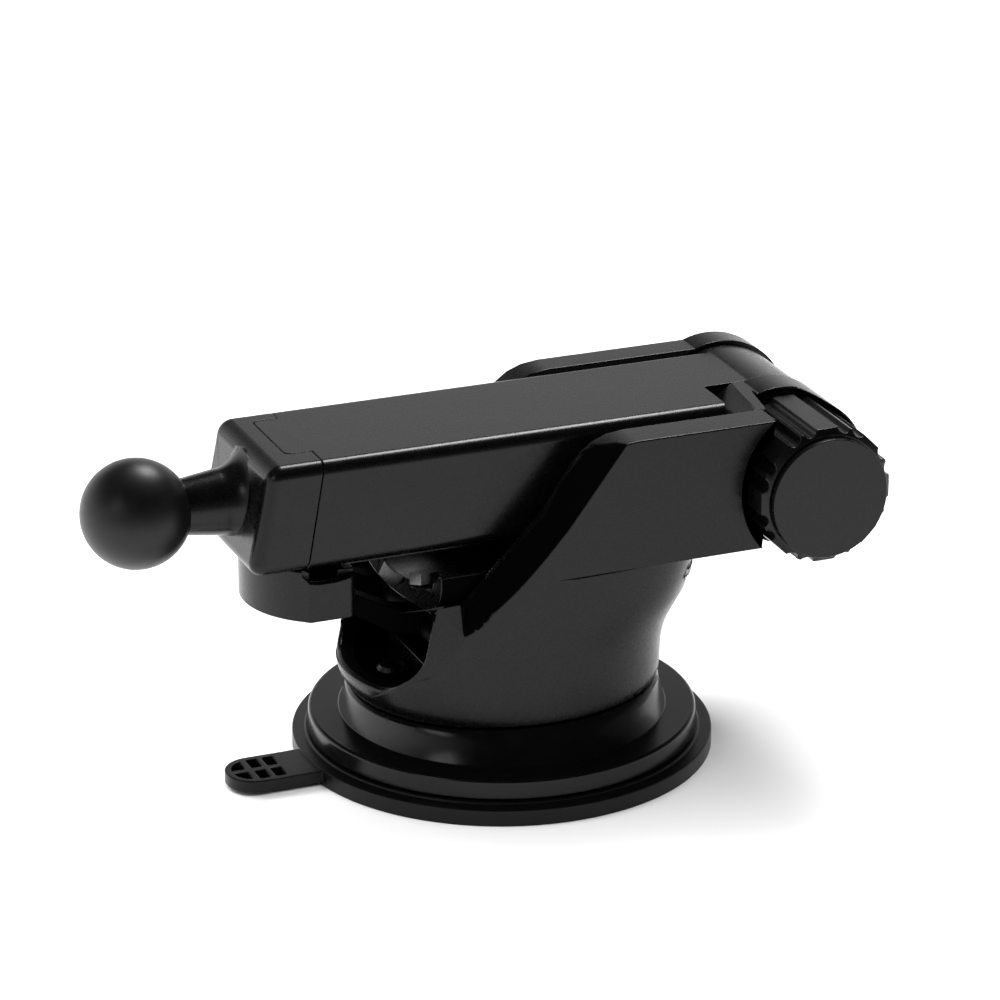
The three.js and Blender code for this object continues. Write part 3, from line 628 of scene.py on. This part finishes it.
def near_cheek():
    """The flat part of the cheek. The column's own curve carries on as its front end."""
    curve = arc(MOUTH_X, PIVOT_Z, MOUTH_R, 222.2, 127, 40)
    outline = [(-0.1, CHEEK_BOTTOM), *curve, (37.0, CHEEK_TOP)]
    outline += [(x, z) for x, z, _ in reversed(cheek_front(31.0)[3:])] + [(-0.1, 44.6)]
    return prism("y", outline, NEAR_OUT, NEAR_IN)


def far_cheek():
    outline = rounded(
        [
            (-14.5, 24, 0),
            (6.0, 24, 0),
            (24.0, CHEEK_BOTTOM - 1.5, 6),
            (PIVOT_X - 2, CHEEK_BOTTOM - 1.5, 0),
            (PIVOT_X, CHEEK_TOP, 0),
            *reversed(cheek_front(24)[1:]),
        ],
        10,
    )
    slab = prism("y", outline, FAR_IN, FAR_OUT)
    return join(slab, cylinder("y", FAR_END_R, FAR_IN, FAR_OUT, PIVOT_X, PIVOT_Z, 128))


def column_plan():
    """The outline of the column's top, standing through the floor between the cheeks."""
    return loft([oval(z, 60, 28.5, 22.1, 19.0, 2.3, 96, 3.1) for z in (20, 50)])


def core():
    """The floor between the cheeks: a leaning front wall in a shallow bow, and a dished top."""
    back_x = 30.2
    rings = []
    for z, set_back in ((CORE_Z0, 0.0), (30.9, 0.6), (32.2, 1.25), (33.5, 1.45), (CORE_Z1, 1.5)):
        ring = [(back_x, CORE_HALF, z)]
        for k in range(33):
            y = CORE_HALF * (1 - k / 16)
            ring.append((CORE_TIP_X + set_back + y * y / (2 * CORE_ARC_R), y, z))
        rings.append([*ring, (back_x, -CORE_HALF, z)])
    dish = prism("x", arc(0, DISH_Z + DISH_R, DISH_R, 180, 360, 80), -30, 24)
    return cut(common(loft(rings), column_plan()), dish)


def bevel_tool():
    """Takes the near cheek's front edge down to a broad slanted facet, leaving a thin rim inside."""
    outer = [
        (-14.1, -19.3, 27.3),
        (-12.5, -20.2, 27.95),
        (-11.2, -20.65, 29.1),
        (-9.9, -21.0, 30.95),
        (11.3, -22.1, 55.3),
    ]
    inner = [(-13.2, 31.4), (-12.8, 31.8), (-12.3, 32.3), (-11.6, 33.0), (7.4, 54.2)]
    rings = []
    for (x, y, z), (u, w) in zip(outer, inner):
        rim = Vector((u, RIM_Y, w))
        reach = Vector((x, y, z)) - rim
        far = rim + reach * ((-30 - RIM_Y) / reach.y)
        lift = Vector((-12, 0, 16))
        rings.append([far, rim, rim + lift, far + lift])
    last = Vector((9, 0, 10))
    rings.append([p + last for p in rings[-1]])
    return common(loft(rings), box(CHEEK_FOOT_X, 40, -40, RIM_Y, 10, 80))


def knuckle():
    """The hub the knob pulls against, and the flared collar that joins it to the near cheek."""
    hub = cylinder("y", KNUCKLE_R, NEAR_IN - 0.2, KNUCKLE_Y1, PIVOT_X, PIVOT_Z, 128)
    collar = turned(
        "y",
        [(0, KNUCKLE_Y1), (12.45, KNUCKLE_Y1), (13.35, NEAR_IN - 0.2), (0, NEAR_IN - 0.2)],
        PIVOT_X,
        PIVOT_Z,
    )
    side = [(25, CHEEK_TOP), (PIVOT_X - 3.0, CHEEK_TOP), (PIVOT_X, PIVOT_Z), (PIVOT_X - 9, 34), (25, 34)]
    return join(hub, common(collar, prism("y", side, -30, 0)))


def recess_tools():
    """The knob's round recess, its wide mouth and the window over its top."""
    round_hole = cylinder("y", RECESS_R, -40, KNUCKLE_Y0, PIVOT_X, PIVOT_Z, 128)
    mouth = cylinder("y", MOUTH_R, -40, NEAR_IN - 0.25, MOUTH_X, PIVOT_Z, 160)
    window = [
        (38.8, -8.2),
        (38.9, -9.6),
        (45.9, -9.7),
        (48.2, -13.0),
        (50.4, -17.0),
        (60, -17.0),
        (60, -40),
        (33.5, -40),
        (36.5, -22.1),
    ]
    return [round_hole, mouth, prism("z", window, PIVOT_Z, 70)]


def pocket():
    """The opening at the front: flat floor, rounded lower corners, open at the top."""
    outline = rounded(
        [
            (-POCKET_NEAR, POCKET_Z0, POCKET_R),
            (POCKET_FAR, POCKET_Z0, POCKET_R),
            (POCKET_FAR, 62, 0),
            (-POCKET_NEAR, 62, 0),
        ],
        14,
    )
    return prism("x", outline, -40, -12.5)


def painted_shade_faces(centre, normal):
    """True on the cheek's slanted facet, on the core's walls under the arm and on the faces that line the
    hollow, which all get painted shade.
    """
    # painted shade on the slanted facet, which should look dark from the surroundings it faces
    facet = normal.x < -0.4 and normal.y < -0.25 and normal.z > 0.25
    if facet and centre.x > CHEEK_FOOT_X - 0.2 and centre.y < RIM_Y + 0.1 and centre.z > 27:
        return True
    on_rib = abs(centre.x + 15) < 0.7 and 16 < centre.z < 18
    if on_rib:
        return False
    # above the hollow, the core's near wall and far dish under the arm get painted shade
    if not 14 < centre.z < 31:
        wall = centre.x < 0 and normal.y < -0.7 and centre.y > NEAR_IN
        return centre.z > 31 and (wall or (centre.x < -10 and 3 < centre.y < FAR_IN))
    # faces lining the hollow get painted shade
    inside = abs(centre.x / 25.3) ** 2.2 + abs(centre.y / 21.1) ** 2.2 < 1
    outward = Vector((centre.x, centre.y, 0)).normalized()
    return inside and normal.dot(outward) < 0.3


def column_hollow():
    levels = [v for v in COLUMN_LEVELS if 13.5 < v[0] <= 27]
    rings = [
        oval(max(z, FLOOR_TOP), f - WALL - 0.3, b - WALL, n - WALL, w - WALL, p, 128, corner)
        for z, f, b, n, w, p, corner in levels
    ]
    high = box(-14.2, 22.0, -HOLLOW_HALF, HOLLOW_HALF, 26.5, DISH_Z - 1)
    return join(loft(rings), high)


def catch_block(x0, x1, grow):
    """The slot for the block the lever snaps onto. It leans with the dished edge it is cut in."""
    outline = [(-7.6, 31.9), (-7.6, 33.9), (-12.4, 35.4), (-12.4, 33.6)]
    spread_out = [(grow, -grow), (grow, grow), (-2 * grow, grow), (-2 * grow, -grow)]
    return prism("x", [(y + a, z + b) for (y, z), (a, b) in zip(outline, spread_out)], x0, x1)


def housing_mesh():
    body = loft([oval(*level[:6], COLUMN_STEPS, level[6]) for level in COLUMN_LEVELS])
    lug_top = common(
        block_over((-17.1, -15.4, 30.7), (3.2, -3.05, 1.5), (0.3, 0.87, -0.5)),
        box(-40, CHEEK_FOOT_X, -40, 0.5, 20, 80),
    )
    body = cut(
        body,
        lug_top,
        box(-40, CHEEK_FOOT_X, 0, 40, FRAME_TOP, 80),
        box(-40, 80, NEAR_IN, 40, FRAME_TOP, 80),
        box(0.2, 80, -40, NEAR_IN + 0.2, CHEEK_BOTTOM, 80),
        prism("y", [(-14, 31), (-13.3, 31.2), (0.9, 45.6), (3, 49), (3, 70), (-14, 70)], -30, NEAR_IN + 0.2),
        pocket(),
        block_over((-14.1, -19.3, 27.3), (0.688, -0.725, 0), (0.107, 0.105, 0.988)),
    )
    filler = common(box(-8, 30, NEAR_IN - 0.4, -15, 30, CHEEK_BOTTOM + 0.3), column_plan())
    body = join(body, near_cheek(), far_cheek(), core(), knuckle(), filler)
    body = cut(body, bevel_tool(), column_hollow(), *recess_tools())
    body = join(body, box(-15.6, -14.4, -9, 9, FLOOR_TOP - 1, 17.8))
    body = cut(
        body,
        cylinder("y", BARREL_R + 0.6, KNUCKLE_Y1, FAR_IN, PIVOT_X, PIVOT_Z, 128),
        cylinder("y", BOLT_HOLE_R, -12, 20, PIVOT_X, PIVOT_Z, 48),
        cylinder("y", 4.75, FAR_OUT - 2.4, 20, PIVOT_X, PIVOT_Z, 6),
        cylinder("z", POST_HOLE_R, 8, 16, 0, 0, 48),
        cylinder("y", LEVER_PIN_HOLE_R, -16.6, 16.6, LEVER_PIN_X, LEVER_PIN_Z, 32),
        catch_block(-21, -15.0, 0.35),
        *[cylinder("z", 1.55, 10, 20, x, y, 32) for x, y in BASE_SCREWS],
    )

    def rim(p):
        """The pocket's outer rim, which is rounded more than the other edges."""
        on_outside = abs(p.x / 26.3) ** 2.1 + abs(p.y / 22.2) ** 2.1 > 0.95
        return 0.8 if p.x < -14 and 16 < p.z < 29 and p.y > -12 and on_outside else None

    return soften(body, 0.25, wide=rim)


# ---- lever ----
def lever_outline(inset, rear_x):
    half = LEVER_HALF - inset
    tip = arc(-28.3, 0, 14.26 - inset, 127.6, 232.4, 32)
    rear = rounded(
        [
            (*tip[-1], 0),
            (-36.0, -half, 1.0),
            (rear_x, -half, 1.6),
            (rear_x, half, 1.6),
            (-36.0, half, 1.0),
            (*tip[0], 0),
        ],
        8,
    )
    return [*tip[1:-1], *rear]


# The dip in the rim of the lever's two side walls, in X and Z.
LEVER_DIP = [
    (-37.1, 40),
    (-36.9, 37.5),
    (-36.0, 36.5),
    (-34.5, 36.2),
    (-32.0, 36.2),
    (-28, 36.8),
    (-28, 40),
]


def lever_mesh():
    cup = cut(
        prism("z", lever_outline(0, -28.4), LEVER_Z0, LEVER_Z1),
        prism("z", lever_outline(1.6, -30.0), LEVER_Z0 + 1.8, LEVER_Z1 + 2),
        *[prism("y", LEVER_DIP, near, far) for near, far in ((-20, -10.5), (10.5, 20))],
        box(-31, -28, -20, 20, LEVER_Z1 - 0.8, 45),
    )
    hub_r = 2.6
    side = [
        (LEVER_PIN_X, LEVER_PIN_Z - hub_r + 0.1),
        (LEVER_PIN_X, LEVER_PIN_Z + hub_r - 0.1),
        (-17.0, 28.0),
        (-21.0, 28.9),
        (-29.9, 33.5),
        (-29.9, 30.3),
        (-22.5, 25.6),
    ]
    nose_x = LEVER_PIN_X + 3.4
    nose_z = LEVER_PIN_Z - 0.4
    body = join(
        cup,
        prism("y", side, 5.6, 9.4),
        prism("y", side, -9.4, -5.6),
        cylinder("y", hub_r, -14.9, 13.1, LEVER_PIN_X, LEVER_PIN_Z, 64),
        cylinder("y", 1.1, -2.7, 2.7, nose_x, nose_z, 32),
        box(LEVER_PIN_X + 1.6, nose_x, -2.7, 2.7, nose_z - 0.9, nose_z + 0.7),
    )
    body = cut(body, cylinder("y", LEVER_PIN_HOLE_R, -20, 20, LEVER_PIN_X, LEVER_PIN_Z, 48))
    return soften(body, 0.2)


def lever_painted_shade(centre, normal):
    """True on the lever's arms and hub and on the floor of its cup, which get painted shade so they look
    unlit in the pocket.
    """
    return centre.x > -28.45 or (normal.z > 0.7 and centre.z < 35)


# ---- arm ----
def arm_section():
    """The arm's outline across its length, in Y and Z."""
    return rounded_rect(-ARM_HALF, ARM_HALF, ARM_Z0, ARM_Z1, ARM_EDGE_R, 10)


def in_front_of(x, lean):
    """Everything in front of a plane that crosses the arm at x on its top face."""
    outline = [
        (x, ARM_Z1),
        (x + 10 * lean, ARM_Z1 + 10),
        (-80, ARM_Z1 + 10),
        (-80, 20),
        (x - (ARM_Z1 - 20) * lean, 20),
    ]
    return prism("y", outline, -40, 40)


def tongue(grow, z0, z1):
    """The sleeve's tongue on top of the cap, or with grow the recess it lies in."""
    front, near, far = TONGUE_X - grow, TONGUE_Y0 - grow, TONGUE_Y1 + grow
    corners = [(front, near, 1.2), (SEAM_X + 1, near, 0), (SEAM_X + 1, far, 0), (front, far, 1.2)]
    return prism("z", rounded(corners), z0, z1)


def sleeve_mesh():
    beam = prism("x", arm_section(), -45, PIVOT_X - 2)
    body = cut(
        beam,
        in_front_of(SEAM_X, SEAM_LEAN),
        cylinder("y", NOTCH_R, -30, BARREL_Y0, PIVOT_X, PIVOT_Z, 160),
    )
    body = join(
        body,
        cylinder("y", BARREL_R, BARREL_Y0, ARM_HALF, PIVOT_X, PIVOT_Z, 128),
        tongue(0, 53.6, ARM_Z1),
    )
    body = cut(
        body,
        box(-60, SLIDER_X1 + 2, -BORE_HALF, BORE_HALF, BORE_Z0, BORE_Z1),
        box(-29.8, 27.3, -10.3, 10.3, 20, 40.2),
        cylinder("y", BOLT_HOLE_R, -40, 40, PIVOT_X, PIVOT_Z, 48),
    )
    return soften(body, 0.15)


def cap_mesh():
    beam = prism("x", arm_section(), -60, -20)
    body = cut(
        common(beam, in_front_of(SEAM_X - GAP * 0.5, SEAM_LEAN)),
        in_front_of(CAP_FRONT_X, CAP_LEAN),
        box(SLIDER_X0 - GAP, -10, -BORE_HALF, BORE_HALF, BORE_Z0, BORE_Z1),
        tongue(GAP * 0.5, 53.2, ARM_Z1 + 5),
    )

    def front_edges(p):
        plane = CAP_FRONT_X - CAP_LEAN * (ARM_Z1 - p.z)
        return 2.2 if abs(p.x - plane) < 0.3 else None

    body = soften(body, 0.15, 12, wide=front_edges)
    stem = turned(
        "x",
        [
            (0, -60.0),
            (3.0, -60.0),
            (3.0, -52.0),
            (4.35, -52.0),
            *arc(9.8, -46.6, 4.7, 180, 112, 12),
            (8.2, -40.0),
            (0, -40.0),
        ],
        0,
        BALL_Z,
        96,
    )
    return join(body, stem)


def ball_mesh():
    profile = [(r, BALL_X + h) for h, r in arc(0, 0, BALL_R, 0, 180, 72)]
    profile[0] = (0, BALL_X + BALL_R)
    profile[-1] = (0, BALL_X - BALL_R)
    body = turned("x", profile, 0, BALL_Z, 128)
    body = cut(
        body,
        box(-52.12, -40, -20, 20, 30, 60),
        cylinder("x", 3.06, -60.4, -40, 0, BALL_Z, 48),
    )
    return soften(body, 0.12)


# ---- knob ----
def knob_outline():
    """Lands and narrow ribs left between round flutes."""
    flute_r, flute_centre, flute_angle = 1.15, 11.3, 15.2
    half = math.degrees(
        math.acos((KNOB_R**2 + flute_centre**2 - flute_r**2) / (2 * KNOB_R * flute_centre))
    )
    points = []
    for k in range(8):
        for centre in (45 * k + flute_angle, 45 * (k + 1) - flute_angle):
            a = math.radians(centre)
            cx, cy = flute_centre * math.cos(a), flute_centre * math.sin(a)
            edge = math.radians(centre - half)
            start = math.atan2(KNOB_R * math.sin(edge) - cy, KNOB_R * math.cos(edge) - cx)
            span = 2 * (math.pi - ((start - a) % (2 * math.pi)))
            for i in range(11):
                t = start + span * i / 10
                points.append((cx + flute_r * math.cos(t), cy + flute_r * math.sin(t)))
    return [(PIVOT_X + x, PIVOT_Z + y) for x, y in points]


def knob_mesh():
    grip = prism("y", knob_outline(), KNOB_Y0, KNOB_Y1)
    shape = turned(
        "y",
        [
            (0, KNOB_Y0 - 1),
            (9.2, KNOB_Y0 - 1),
            (9.9, KNOB_Y0),
            (KNOB_R - 0.25, KNOB_Y0 + 0.55),
            (KNOB_R + 1, KNOB_Y0 + 1.1),
            (KNOB_R + 1, KNOB_Y1 - 0.6),
            (KNOB_R - 0.4, KNOB_Y1 + 1),
            (0, KNOB_Y1 + 1),
        ],
        PIVOT_X,
        PIVOT_Z,
    )
    body = cut(
        common(grip, shape),
        cylinder("y", 4.5, -22.0, 0, PIVOT_X, PIVOT_Z, 64),
        cylinder("y", 2.9, -26, 0, PIVOT_X, PIVOT_Z, 48),
        cylinder("y", 7.8, -40, -25.4, PIVOT_X, PIVOT_Z, 96),
    )
    return soften(body, 0.12, 2)


def knob_cap_mesh():
    body = turned(
        "y",
        [
            (0, KNOB_FACE_Y),
            (KNOB_FACE_R, KNOB_FACE_Y),
            (KNOB_FACE_R, KNOB_FACE_Y + 0.9),
            (KNOB_FACE_R - 0.5, KNOB_Y0 - 0.1),
            (7.5, KNOB_Y0 - 0.1),
            (7.5, -25.7),
            (0, -25.7),
        ],
        PIVOT_X,
        PIVOT_Z,
        160,
    )
    return soften(body, 0.15)


# ---- return spring ----
def spring_mesh():
    """A coil of round wire round the pull post, with its first and last turns lying flat."""
    wire_r, coil_r, turns, per_turn, around = 0.42, 5.3, 4, 40, 12
    low, high = SPRING_Z0 + wire_r, SPRING_Z1 - wire_r
    rings = []
    for i in range(turns * per_turn + 1):
        share = i / (turns * per_turn)
        climb = min(max((share - 0.2) / 0.6, 0), 1)
        flat = 2.2 * wire_r * (share if share < 0.5 else share - 1)
        z = low + (high - low - 2.2 * wire_r) * climb + flat + 1.1 * wire_r
        turn = 2 * math.pi * share * turns
        ring = []
        for k in range(around):
            t = 2 * math.pi * k / around
            r = coil_r + wire_r * math.cos(t)
            ring.append((r * math.cos(turn), r * math.sin(turn), z + wire_r * math.sin(t)))
        rings.append(ring)
    return loft(rings)


# ---- the pieces ----
piece("pad", pad_mesh(), "foot", pad_rubber, "pad_rubber", "suction_pad")
piece("foot_ring", ring_mesh(), "foot", ring_plastic, "black_plastic", "base_ring")
piece("shell", housing_mesh(), "foot", shell_plastic, "black_plastic", "housing", inside=painted_shade_faces)
piece(
    "cup_lever", lever_mesh(), "lever", shell_plastic, "black_plastic", "suction_lever", inside=lever_painted_shade
)
piece("sleeve", sleeve_mesh(), "arm", arm_plastic, "black_plastic", "arm_sleeve")
piece("front_cap", cap_mesh(), "slider", arm_plastic, "black_plastic", "end_cap", crease=10)
piece("ball_stud", ball_mesh(), "slider", ball_rubber, "ball_rubber", "ball")
piece("knob_grip", knob_mesh(), "knob", knob_plastic, "knob_plastic", "knob_body", crease=50)
piece("knob_disc", knob_cap_mesh(), "knob", knob_plastic, "knob_plastic", "knob_cap")

for node in ("suction_disc", "pull_post", "inner_slider"):
    paint(node, nylon)
for node in ("arm_bottom_cover", "lever_catch"):
    paint(node, shell_plastic)
spring = piece("spring_coil", spring_mesh(), "foot", steel, "steel", "return_spring")
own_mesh(spring)
for node in ("lever_pin", "thrust_washer", "clamp_bolt"):
    paint(node, steel)
for node in ("base_screw_1", "base_screw_2", "base_screw_3", "cover_screw_1", "cover_screw_2"):
    paint(node, dark_steel)
paint("knob_insert", brass)


# ---- floor, light and camera ----
def add_floor():
    size = 3.0
    mesh = bpy.data.meshes.new("floor")
    corners = [(-size, -size, 0), (size, -size, 0), (size, size, 0), (-size, size, 0)]
    mesh.from_pydata(corners, [], [(0, 1, 2, 3)])
    floor = bpy.data.objects.new("floor", mesh)
    bpy.context.scene.collection.objects.link(floor)
    material, tree, bsdf = shader("paper")
    two_tone(tree, bsdf, spread(tree, noise(tree, 9.0), 0, 1), (0.86, 0.86, 0.86), (0.88, 0.88, 0.88))
    bsdf.inputs["Roughness"].default_value = 0.9
    bsdf.inputs["Specular IOR Level"].default_value = 0.1
    mesh.materials.append(material)


def add_world():
    """White surroundings near eye level, brighter to the left and behind, and black overhead."""
    world = bpy.data.worlds.new("studio")
    bpy.context.scene.world = world
    world.use_nodes = True
    tree = world.node_tree
    background = tree.nodes["Background"]
    coords = tree.nodes.new("ShaderNodeTexCoord")
    split = tree.nodes.new("ShaderNodeSeparateXYZ")
    ramp = tree.nodes.new("ShaderNodeValToRGB")
    tree.links.new(coords.outputs["Generated"], split.inputs["Vector"])
    tree.links.new(split.outputs["Z"], ramp.inputs["Fac"])
    tree.links.new(ramp.outputs["Color"], background.inputs["Color"])
    stops = ramp.color_ramp.elements
    stops[0].position, stops[0].color = 0.0, (1.0, 1.0, 1.0, 1)
    stops[1].position, stops[1].color = 1.0, (0.004, 0.004, 0.004, 1)
    for position, tone in ((0.18, 0.7), (0.37, 0.34), (0.44, 0.04), (0.5, 0.006)):
        stop = stops.new(position)
        stop.color = (tone, tone, tone, 1)
    toward = tree.nodes.new("ShaderNodeVectorMath")
    toward.operation = "DOT_PRODUCT"
    toward.inputs[1].default_value = (-0.45, 0.89, 0)
    tree.links.new(coords.outputs["Generated"], toward.inputs[0])
    side = tree.nodes.new("ShaderNodeMapRange")
    side.inputs["From Min"].default_value = -0.6
    side.inputs["From Max"].default_value = 0.6
    side.inputs["To Min"].default_value = 0.25
    side.inputs["To Max"].default_value = 1.7
    tree.links.new(toward.outputs["Value"], side.inputs["Value"])
    tree.links.new(side.outputs["Result"], background.inputs["Strength"])


def add_area(name, place, target, size, power, mirrored=False):
    light = bpy.data.lights.new(name, "AREA")
    light.shape = "RECTANGLE"
    light.size, light.size_y = size
    light.energy = power
    obj = bpy.data.objects.new(name, light)
    obj.location = place
    obj.rotation_mode = "QUATERNION"
    obj.rotation_quaternion = (Vector(target) - Vector(place)).to_track_quat("-Z", "Y")
    obj.visible_glossy = mirrored
    bpy.context.scene.collection.objects.link(obj)
    return obj


def add_camera():
    """Placed by azimuth, elevation and distance from the middle of the mount."""
    azimuth, elevation, roll = (math.radians(v) for v in (-21.978, 21.231, -0.098))
    offset = Vector((-0.044, -37.655, -745.447)) * MM
    focal, sensor = 4.7047, 36.0
    back = Vector(
        (
            math.sin(azimuth) * math.cos(elevation),
            -math.cos(azimuth) * math.cos(elevation),
            math.sin(elevation),
        )
    )
    right = Vector((math.cos(azimuth), math.sin(azimuth), 0))
    up = back.cross(right)
    turned_right = right * math.cos(roll) + up * math.sin(roll)
    turned_up = up * math.cos(roll) - right * math.sin(roll)
    axes = Matrix((turned_right, turned_up, back))
    place = -(axes.transposed() @ offset)
    data = bpy.data.cameras.new("camera")
    data.lens = focal * sensor
    data.sensor_width = sensor
    data.shift_x = -0.00196
    data.clip_start, data.clip_end = 0.01, 20
    camera = bpy.data.objects.new("camera", data)
    camera.matrix_world = Matrix.Translation(place) @ axes.transposed().to_4x4()
    bpy.context.scene.collection.objects.link(camera)
    bpy.context.scene.camera = camera


add_floor()
add_world()
add_area("key", (-0.38, 0.42, 0.75), (0, 0, 0.03), (0.9, 0.9), 14.0)
add_area("fill", (0.15, -0.5, 0.9), (0, 0, 0.03), (0.8, 0.8), 7.5)
add_area("overhead", (0.35, 0.42, 0.83), (0, 0, 0.04), (0.32, 0.3), 7.0, mirrored=True)
add_area("left", (-0.78, -0.38, 0.53), (0, 0, 0.02), (0.3, 0.26), 0.7, mirrored=True)
add_camera()
bpy.context.scene.view_settings.view_transform = "Standard"
